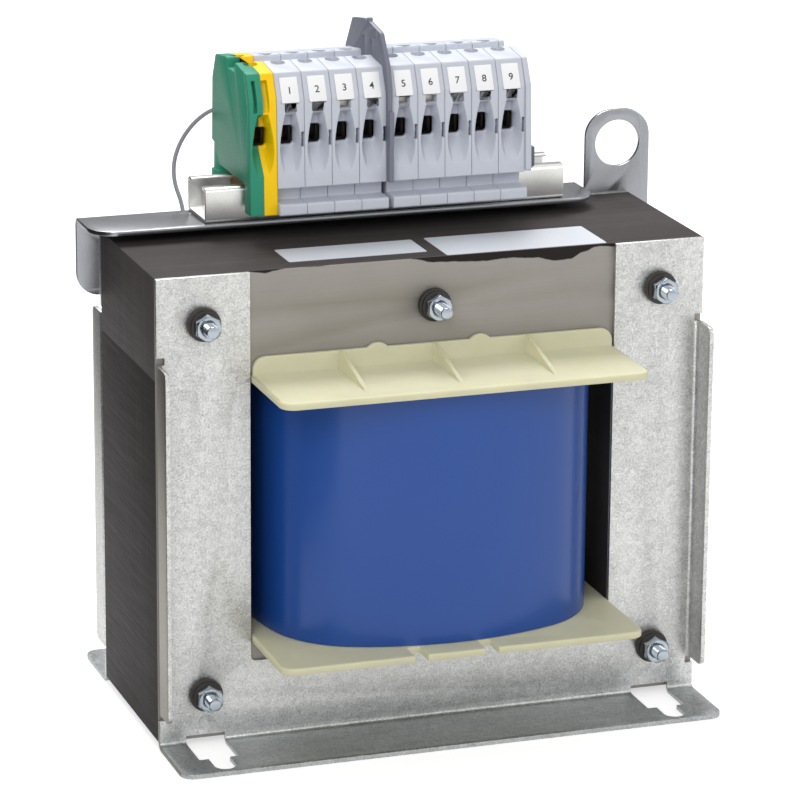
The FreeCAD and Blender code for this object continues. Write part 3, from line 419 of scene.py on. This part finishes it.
# %% [markdown]
# The plastics: a creamy bobbin, blue-grey terminals, the green and yellow of the earth terminal, and a
# slate-coloured partition. All share the moulded plastic group. The bobbin's thin edges let a little light
# through, so it alone gets subsurface scattering, which would only cost time on the others.

# %% Plastics
bobbin_cream = plastic("bobbin_cream", linear(212, 209, 178), 0.16, Subsurface_Weight=0.35,
                       Subsurface_Radius=(0.007, 0.006, 0.002), Subsurface_Scale=1.0, Specular_IOR_Level=0.4)
terminal_grey = plastic("terminal_grey", linear(200, 204, 214), Specular_IOR_Level=0.35)
earth_green = plastic("earth_green", linear(46, 144, 115), Specular_IOR_Level=0.3)
earth_yellow = plastic("earth_yellow", linear(255, 208, 4), Specular_IOR_Level=0.3)
slate = plastic("slate_partition", linear(114, 118, 131))
tag_white = plastic("tag_white", linear(248, 248, 249), 0.02)
label_silver = plastic("label_silver", linear(206, 210, 217), 0.04)
washer_black = plastic("washer_black", linear(38, 34, 31))
sheath_grey = plastic("sheath_grey", linear(146, 146, 154))
insulation_card = plastic("insulation_card", linear(206, 198, 168))
ink_black = plastic("ink_black", linear(28, 28, 32), 0.02)
print("materials so far:", len(bpy.data.materials))

# %% [markdown]
# The blue film is one smooth glossy skin round the coil. It clings to the turns below, so its surface
# wavers a little. A modelled ripple would be too strong, so a soft stretched noise feeds the bump, and a
# clear coat over the colour gives the tall soft reflections.

# %% Blue film
FILM_DARK = linear(27, 70, 146)
FILM_LIGHT = linear(33, 78, 156)
FILM_RELIEF = 0.4 * MM

film_blue, tree, shader = new_material("film_blue", roughness=0.30, Specular_IOR_Level=0.35, Coat_Weight=0.12,
                                       Coat_Roughness=0.10)
waver = tree.noise(tree.stretched((9.0, 9.0, 60.0)), 1.0)
patches = tree.noise(tree.stretched((14.0, 14.0, 5.0)), 1.0)
tree.link(tree.mix(patches, FILM_DARK, FILM_LIGHT), shader.inputs["Base Color"])
bump(tree, shader, waver, 0.10, FILM_RELIEF)
print("film nodes:", len(film_blue.node_tree.nodes))

# %% [markdown]
# On the front face of the core the varnish has run over the top edge and dried in a wavy line. The line
# could be cut into the mesh, but it is only a change of finish. So a color ramp along X holds the depth
# of the run, and a point of the face is varnished when it lies less than that depth under the top.

# %% Varnish run
CORE_TOP = 203 * MM
CORE_HALF = 120
DEEPEST_RUN = 10
RUN_EDGE = 0.4 * MM
RIPPLE = 2.2 * MM
# Each stop is a distance from the middle and the depth of the run there, both in millimetres.
DRIP_STOPS = [
    (-80, 0.3), (-76, 1.1), (-73, 1.7), (-69, 0.9), (-66, 0.6), (-63, 0.0), (-14, 0.0), (3, 2.5),
    (23, 3.7), (34, 3.1), (45, 3.8), (54, 5.6), (60, 5.3), (66, 2.8), (72, 1.3), (79, 1.8),
]


def varnish_run(tree, x, z):
    """One where the varnish covers the bare face, nought below its wavy line."""
    ramp = tree.add("ShaderNodeValToRGB")
    ramp.color_ramp.interpolation = "EASE"
    while len(ramp.color_ramp.elements) < len(DRIP_STOPS):
        ramp.color_ramp.elements.new(0.5)
    for element, (distance, depth) in zip(ramp.color_ramp.elements, DRIP_STOPS):
        element.position = (distance + CORE_HALF) / (2 * CORE_HALF)
        element.color = (depth / DEEPEST_RUN, depth / DEEPEST_RUN, depth / DEEPEST_RUN, 1)
    tree.link(tree.span(x, -CORE_HALF * MM, CORE_HALF * MM), ramp.inputs[0])
    depth = tree.math("MULTIPLY", ramp.outputs[0], DEEPEST_RUN * MM)
    waves = tree.math("SUBTRACT", tree.noise(tree.place(), 90.0, 3.0, 0.6), 0.5)
    reach = tree.math("MULTIPLY_ADD", waves, RIPPLE, depth)
    fall = tree.math("SUBTRACT", CORE_TOP, z)
    return tree.span(tree.math("SUBTRACT", reach, fall), 0.0, RUN_EDGE)


print("stops of the varnish run:", len(DRIP_STOPS))

# %% [markdown]
# The core shows two finishes: bare brushed steel on its front and back, and dark varnish on the sheet
# edges on top and at the sides. Two pieces would leave a seam, so the depth from the middle tells the
# material which face it is on. The yoke above is a little lighter than the limbs, and gets a material of
# its own.

# %% Core finishes
CORE_FACE = 41.7 * MM
FACE_BLEND = 0.2 * MM
BRUSHED = (30.0, 30.0, 1500.0)
BARE_LIGHT = 0.72
BARE_METAL = 0.75


def core_material(name, edge_dark, edge_light, face):
    material, tree, shader = new_material(name, Specular_IOR_Level=0.08)
    x, y, z = tree.axes()
    on_face = tree.span(tree.math("ABSOLUTE", y), CORE_FACE, CORE_FACE + FACE_BLEND)
    run = varnish_run(tree, x, z)
    lines = use_group(tree, sheet_edges)
    edge = tree.mix(lines.outputs["Lines"], edge_dark, edge_light)
    brushed = tree.noise(tree.stretched(BRUSHED), 1.0, 3.0, 0.6)
    cloud = tree.noise(tree.place(), 22.0, 3.0, 0.55)
    shade = tree.math("ADD", tree.weighed((brushed, 0.30), (cloud, 0.30)), BARE_LIGHT)
    bare = tree.tint(face, tree.grey(shade))
    varnished = tree.mix(run, bare, edge_dark)
    tree.link(tree.mix(on_face, edge, varnished), shader.inputs["Base Color"])
    metal = tree.math("MULTIPLY", on_face, tree.math("SUBTRACT", 1.0, run))
    tree.link(tree.math("MULTIPLY", metal, BARE_METAL), shader.inputs["Metallic"])
    tree.link(tree.span(brushed, 0.3, 0.7, 0.50, 0.64), shader.inputs["Roughness"])
    bump(tree, shader, tree.mix(on_face, lines.outputs["Height"], brushed), 0.25, 0.2 * MM)
    return material


core_e = core_material("varnished_core", linear(29, 26, 25), linear(61, 57, 55), linear(146, 142, 137))
core_i = core_material("varnished_yoke", linear(40, 36, 35), linear(86, 81, 80), linear(150, 146, 141))
print("materials in all:", len(bpy.data.materials))

# %% [markdown]
# The shapes come next. Each step makes one piece active, edits it or applies a modifier, and smooths it.
# When a piece is done, its place goes into its mesh, and it gets its material and the body that it moves
# with.

# %% Piece helpers
BODY = "transformer"


def activate(piece):
    deselect()
    piece.select_set(True)
    bpy.context.view_layer.objects.active = piece


def edit(piece):
    activate(piece)
    bpy.ops.object.mode_set(mode="EDIT")
    bpy.ops.mesh.select_all(action="SELECT")


def leave_edit():
    bpy.ops.object.mode_set(mode="OBJECT")


def apply_modifier(piece, kind, **values):
    activate(piece)
    modifier = piece.modifiers.new(kind.lower(), kind)
    for name, value in values.items():
        setattr(modifier, name, value)
    bpy.ops.object.modifier_apply(modifier=modifier.name)


def smooth(piece, degrees):
    activate(piece)
    bpy.ops.object.shade_smooth_by_angle(angle=math.radians(degrees))


def settle(piece):
    activate(piece)
    bpy.ops.object.transform_apply(location=True, rotation=True, scale=True)


def finish_piece(piece, material, nodes=()):
    settle(piece)
    piece.data.materials.clear()
    piece.data.materials.append(material)
    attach(piece, BODY)
    if nodes:
        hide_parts(*nodes)


# %% [markdown]
# Most CAD nodes have the right shape and only lack a maker's touch: real edges are never knife-sharp. They
# could be modelled anew, but that risks their sizes. So a copy of each node is welded, its triangles are
# dissolved into flat faces, and a small bevel breaks the edges.

# %% Rework a CAD node
WELD = 0.002 * MM
FLAT_ANGLE = math.radians(0.5)


def reworked(node, name, width, degrees=35):
    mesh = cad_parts[node].data.copy()
    piece = bpy.data.objects.new(name, mesh)
    bpy.context.scene.collection.objects.link(piece)
    activate(piece)
    bpy.ops.mesh.customdata_custom_splitnormals_clear()
    edit(piece)
    bpy.ops.mesh.remove_doubles(threshold=WELD)
    bpy.ops.mesh.dissolve_limited(angle_limit=FLAT_ANGLE)
    leave_edit()
    if width:
        apply_modifier(piece, "BEVEL", width=width, segments=2, limit_method="ANGLE",
                       angle_limit=math.radians(degrees), use_clamp_overlap=False, miter_outer="MITER_ARC")
    smooth(piece, degrees)
    return piece


# %% [markdown]
# Each row names a node, its finish and the width of its bevel in millimetres. One width for all would
# swallow the small pieces, so the bobbin has the roundest edges and the thinnest pieces get the smallest
# bevel.

# %% Pieces with softened edges
REWORK = [
    ("front_mounting_frame", front_sheet, 0.25),
    ("rear_mounting_frame", rear_sheet, 0.25),
    ("e_lamination_stack", core_e, 0.2),
    ("i_lamination_stack", core_i, 0.2),
    ("coil_bobbin", bobbin_cream, 0.4),
    ("insulating_washers", washer_black, 0.2),
    ("stud_nuts", bright_zinc, 0.15),
    ("terminal_bracket", smooth_zinc, 0.3),
    ("terminal_rail", rail_zinc, 0.2),
    ("rail_rivets", bright_zinc, 0.3),
    ("earth_shell_green", earth_green, 0.25),
    ("earth_shell_yellow", earth_yellow, 0.25),
    ("separator_plate", slate, 0.25),
    ("end_plate", terminal_grey, 0.3),
    ("end_stop", slate, 0.3),
    ("marker_tags", tag_white, 0.15),
    ("lead_lug", tinned, 0.1),
]
REWORK += [("terminal_housing_%d" % (i + 1), terminal_grey, 0.25) for i in range(9)]
for node, material, width in REWORK:
    piece = reworked(node, node + "_finished", width * MM)
    finish_piece(piece, material, nodes=[node])
    print(node, "faces:", len(piece.data.polygons))

# %% [markdown]
# The film goes round the coil in one smooth oval. A bevel would draw a hard line where there is none, so
# its copy only gets smooth shading all round.

# %% Coil film
film = reworked("coil_wrap", "coil_film", 0.0, degrees=50)
finish_piece(film, film_blue, nodes=["coil_wrap"])
print("film faces:", len(film.data.polygons))

# %% [markdown]
# Some nodes hardly show: what lies inside the coil, and the bars, cages and screws in the dark of the
# terminals. The cages and screws also move with their own bodies, and the two labels on the yoke are too
# thin for a softened edge. New pieces for them would add nothing, so these nodes stay and get a finish.

# %% Finishes for the nodes that stay
STAY = {
    "primary_winding": copper, "secondary_winding": copper, "interwinding_insulation": insulation_card,
    "stud_sleeves": insulation_card, "current_bars": tinned, "earth_bar": brassy,
    "rear_clamp_cages": burnished, "rear_clamp_screws": burnished, "top_labels": label_silver,
}
for i in range(10):
    STAY["clamp_screw_%02d" % i] = burnished
    STAY["clamp_cage_%02d" % i] = burnished
for node, material in STAY.items():
    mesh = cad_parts[node].data
    mesh.materials.clear()
    mesh.materials.append(material)
print("nodes that stay:", len(STAY))

# %% [markdown]
# A stud's thread is a ridge that climbs one pitch in each turn. A stack of rings would look alike from
# afar but never climbs. So one tooth's outline is extruded from a single point, the Screw modifier turns
# it round the axis and lifts it by the pitch in every turn, and welding the turns gives one closed skin.

# %% Threaded end
PITCH = 1.0 * MM
CREST = 2.98 * MM
ROOT = 2.42 * MM
THREAD_LENGTH = 16 * MM
THREAD_WELD = 0.005 * MM
# Each point of the tooth is a radius and a height.
TOOTH = [(ROOT, 0), (ROOT, 0.12 * PITCH), (CREST, 0.46 * PITCH), (CREST, 0.60 * PITCH), (ROOT, PITCH)]


def threaded_rod():
    deselect()
    bpy.ops.mesh.primitive_plane_add(size=PITCH)
    rod = bpy.context.object
    edit(rod)
    bpy.ops.mesh.merge(type="CENTER")
    bpy.ops.transform.translate(value=(ROOT, 0, 0))
    for (radius, height), (next_radius, next_height) in zip(TOOTH, TOOTH[1:]):
        step = (next_radius - radius, 0, next_height - height)
        bpy.ops.mesh.extrude_region_move(TRANSFORM_OT_translate={"value": step})
    leave_edit()
    apply_modifier(rod, "SCREW", screw_offset=PITCH, iterations=int(THREAD_LENGTH / PITCH), steps=20,
                   render_steps=20, use_normal_calculate=True, use_merge_vertices=False)
    edit(rod)
    bpy.ops.mesh.remove_doubles(threshold=THREAD_WELD)
    bpy.ops.mesh.select_all(action="DESELECT")
    bpy.ops.mesh.select_non_manifold()
    bpy.ops.mesh.fill()
    bpy.ops.mesh.select_all(action="SELECT")
    bpy.ops.mesh.normals_make_consistent(inside=False)
    leave_edit()
    return rod


master = threaded_rod()
print("faces of one thread:", len(master.data.polygons))

# %% [markdown]
# Five studs run through the core, and each carries a thread at both ends. The thread is modelled once and
# copied to the ten ends, pointing inwards from each tip. A plain rod with softened ends fills each stud,
# and its tip stands a little proud of the thread, as on a real one.

# %% Studs
# Each place is an X and a Z in millimetres.
STUD_PLACES = [(-100, 23), (100, 23), (-100, 183), (0, 183), (100, 183)]
TIP_LENGTH = 0.4 * MM
ROD_RADIUS = ROOT + 0.1 * MM
ROD_BEVEL = 0.5 * MM


def join(pieces, name):
    activate(pieces[0])
    for other in pieces[1:]:
        other.select_set(True)
    bpy.ops.object.join()
    joined = bpy.context.view_layer.objects.active
    joined.name = name
    return joined


stud_low, stud_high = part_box("core_studs")
rods = []
for x, z in STUD_PLACES:
    for tip, direction in ((stud_low.y, 1), (stud_high.y, -1)):
        thread = master.copy()
        thread.data = master.data.copy()
        bpy.context.scene.collection.objects.link(thread)
        thread.rotation_euler = (-direction * math.pi / 2, 0, 0)
        thread.location = (x * MM, tip + direction * TIP_LENGTH, z * MM)
        rods.append(thread)
    deselect()
    bpy.ops.mesh.primitive_cylinder_add(vertices=32, radius=ROD_RADIUS, depth=stud_high.y - stud_low.y,
                                        location=(x * MM, (stud_low.y + stud_high.y) / 2, z * MM),
                                        rotation=(math.pi / 2, 0, 0))
    core_rod = bpy.context.object
    apply_modifier(core_rod, "BEVEL", width=ROD_BEVEL, segments=2, limit_method="ANGLE",
                   angle_limit=math.radians(40))
    rods.append(core_rod)
bpy.data.objects.remove(master)
studs = join(rods, "threaded_studs")
smooth(studs, 30)
finish_piece(studs, bright_zinc, nodes=["core_studs"])
print("threaded ends:", len(STUD_PLACES) * 2)

# %% [markdown]
# Each tag carries a plain number. It could be a pattern in the tag's material, but figures are easier to
# draw as text. The text is made as a curve, turned into a mesh while it still stands upright, and only
# then tilted onto the sloping tag. The crown's lowest and highest points give the slope.

# %% Numbers on the tags
TAG_CENTRES = [-48.1, -36.1, -24.1, -12.1, 1.9, 13.9, 25.9, 37.9, 49.9]
CROWN_LOW = Vector((0, 30.25 - 27.2, 209 + 54.0)) * MM
CROWN_HIGH = Vector((0, 30.25 - 22.2, 209 + 64.8)) * MM
TAG_MIDDLE = 3.7 * MM
TAG_FACE = 0.32 * MM
DIGIT_SIZE = 4.2 * MM
DIGIT_BOLDNESS = 0.04 * MM
INK_RELIEF = 0.03 * MM


def number_on_tag(text, x):
    deselect()
    bpy.ops.object.text_add()
    digit = bpy.context.object
    digit.data.body = text
    digit.data.align_x = "CENTER"
    digit.data.align_y = "CENTER"
    digit.data.size = DIGIT_SIZE
    digit.data.offset = DIGIT_BOLDNESS
    digit.data.extrude = INK_RELIEF
    bpy.ops.object.convert(target="MESH")
    digit = bpy.context.object
    along = (CROWN_HIGH - CROWN_LOW).normalized()
    across = Vector((1, 0, 0))
    outward = across.cross(along)
    spot = CROWN_LOW + along * TAG_MIDDLE + outward * TAG_FACE
    turn = Matrix((across, along, outward)).transposed().to_4x4()
    digit.matrix_world = Matrix.Translation((x * MM, spot.y, spot.z)) @ turn
    settle(digit)
    return digit


digits = [number_on_tag(str(i + 1), x) for i, x in enumerate(TAG_CENTRES)]
numbers = join(digits, "tag_numbers")
finish_piece(numbers, ink_black)
print("numbers:", len(digits))

# %% [markdown]
# The earth lead leaves the rear clamp of the earth terminal, loops behind the core and ends in a ring
# lug. A tube of straight runs and arcs would look like bent wire, so it is one smooth NURBS line with a
# round section, and its points are those of the CAD route.

# %% Earth lead
LEAD_DIAMETER = 1.8 * MM
LEAD_POINTS = [
    (-60.1, 39.0, 249.65), (-60.1, 50.0, 249.65), (-61.0, 58.5, 249.2), (-65.0, 65.0, 246.6),
    (-71.0, 68.6, 241.0), (-76.6, 69.4, 233.4), (-80.4, 68.0, 224.8), (-81.8, 62.4, 216.6),
    (-80.4, 55.6, 209.4), (-80.9, 50.5, 203.0), (-83.55, 48.0, 198.35), (-88.67, 48.0, 193.57),
]
deselect()
bpy.ops.curve.primitive_nurbs_path_add()
lead = bpy.context.object
lead.name = "earth_lead_sheath"
lead.data.splines.clear()
spline = lead.data.splines.new("NURBS")
spline.points.add(len(LEAD_POINTS) - 1)
for point, (x, y, z) in zip(spline.points, LEAD_POINTS):
    point.co = (x * MM, y * MM, z * MM, 1.0)
spline.order_u = 3
spline.use_endpoint_u = True
spline.resolution_u = 12
lead.data.bevel_depth = LEAD_DIAMETER / 2
lead.data.bevel_resolution = 6
lead.data.use_fill_caps = True
lead.data.materials.append(sheath_grey)
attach(lead, BODY)
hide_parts("earth_lead")
print("points of the lead:", len(LEAD_POINTS))

# %% [markdown]
# The studio is white all round, as in a catalogue. More light would bleach the object, so the floor and
# the world stay at a plain level for the light that they give, and glow only for rays that come from the
# camera or by way of metal and glass. The floor still catches the object's shadow.

# %% White surroundings
FLOOR_SIDE = 6.0
FLOOR_GREY = 0.62
FLOOR_GLOW = 0.62
WORLD_LIGHT = 0.5


def seen_rays(tree):
    """One for rays that come from the camera or by way of metal and glass, nought for those that light."""
    rays = tree.add("ShaderNodeLightPath")
    mirrored = tree.math("MAXIMUM", rays.outputs["Is Glossy Ray"], rays.outputs["Is Transmission Ray"])
    return tree.math("MAXIMUM", rays.outputs["Is Camera Ray"], mirrored)


deselect()
bpy.ops.mesh.primitive_plane_add(size=FLOOR_SIDE, location=(0, 0, -0.2 * MM))
floor = bpy.context.object
floor.name = "studio_floor"
settle(floor)
floor_white, tree, shader = new_material("floor_white", roughness=0.9)
shader.inputs["Base Color"].default_value = (FLOOR_GREY, FLOOR_GREY, FLOOR_GREY, 1)
glow = tree.add("ShaderNodeEmission")
tree.link(tree.math("MULTIPLY", seen_rays(tree), FLOOR_GLOW), glow.inputs["Strength"])
total = tree.add("ShaderNodeAddShader")
tree.link(shader.outputs[0], total.inputs[0])
tree.link(glow.outputs[0], total.inputs[1])
tree.link(total.outputs[0], floor_white.node_tree.nodes["Material Output"].inputs["Surface"])
floor.data.materials.append(floor_white)

world = bpy.data.worlds.new("studio_world")
bpy.context.scene.world = world
world.use_nodes = True
tree = Tree(world.node_tree)
background = world.node_tree.nodes["Background"]
background.inputs["Color"].default_value = WHITE
strength = tree.math("MULTIPLY_ADD", seen_rays(tree), 1.0 - WORLD_LIGHT, WORLD_LIGHT)
tree.link(strength, background.inputs["Strength"])
print("floor side, m:", FLOOR_SIDE)

# %% [markdown]
# Polished metal shows the room round it, and in a white room it has no shaded sides. A photographer puts
# dark cards beside it for that. Two cards stand here, one at the left and one behind, and only glossy
# surfaces see them, so they neither show in the picture nor take away light.

# %% Dark cards
CARD_SIDE = 1.6


def studio_card(name, place, turn, grey):
    deselect()
    bpy.ops.mesh.primitive_plane_add(size=CARD_SIDE, location=place, rotation=turn)
    card = bpy.context.object
    card.name = name
    settle(card)
    card.visible_camera = False
    card.visible_diffuse = False
    card.visible_shadow = False
    material, _, shader = new_material(name + "_grey", roughness=0.9)
    shader.inputs["Base Color"].default_value = (0.03, 0.03, 0.03, 1)
    shader.inputs["Emission Color"].default_value = (grey, grey, grey, 1)
    shader.inputs["Emission Strength"].default_value = 1.0
    card.data.materials.append(material)


# Each row is a name, a place in metres, a turn and a brightness.
CARDS = [
    ("left_card", (-0.32, 0.4, 0.8), (0, math.pi / 2, 0), 0.0),
    ("back_card", (0.5, 1.6, 0.82), (math.pi / 2, 0, 0), 0.35),
]
for name, place, turn, grey in CARDS:
    studio_card(name, place, turn, grey)
print("dark cards:", len(CARDS))

# %% [markdown]
# Three square soft lamps light the object: a key from the front left, a light above and behind that whitens
# the tops of the terminals, and a weak fill from the right. A sun would draw hard shadows that the picture
# doesn't have.

# %% Lamps
LAMP_SIDE = 1.0
# Each row is a name, a place and an aim in metres, and a power in watts.
LAMPS = [
    ("key_light", (-1.0, -1.7, 1.35), (0, 0, 0.12), 18),
    ("top_light", (0.1, 0.9, 1.7), (0, 0, 0.15), 30),
    ("fill_light", (1.5, -1.2, 0.9), (0, 0, 0.12), 5),
]
for name, place, aim, watts in LAMPS:
    deselect()
    bpy.ops.object.light_add(type="AREA", location=place)
    lamp = bpy.context.object
    lamp.name = name
    lamp.data.energy = watts
    lamp.data.size = LAMP_SIDE
    direction = Vector(aim) - Vector(place)
    lamp.rotation_euler = direction.to_track_quat("-Z", "Y").to_euler()
bpy.context.scene.view_settings.view_transform = "Standard"
print("lamps:", len(LAMPS))
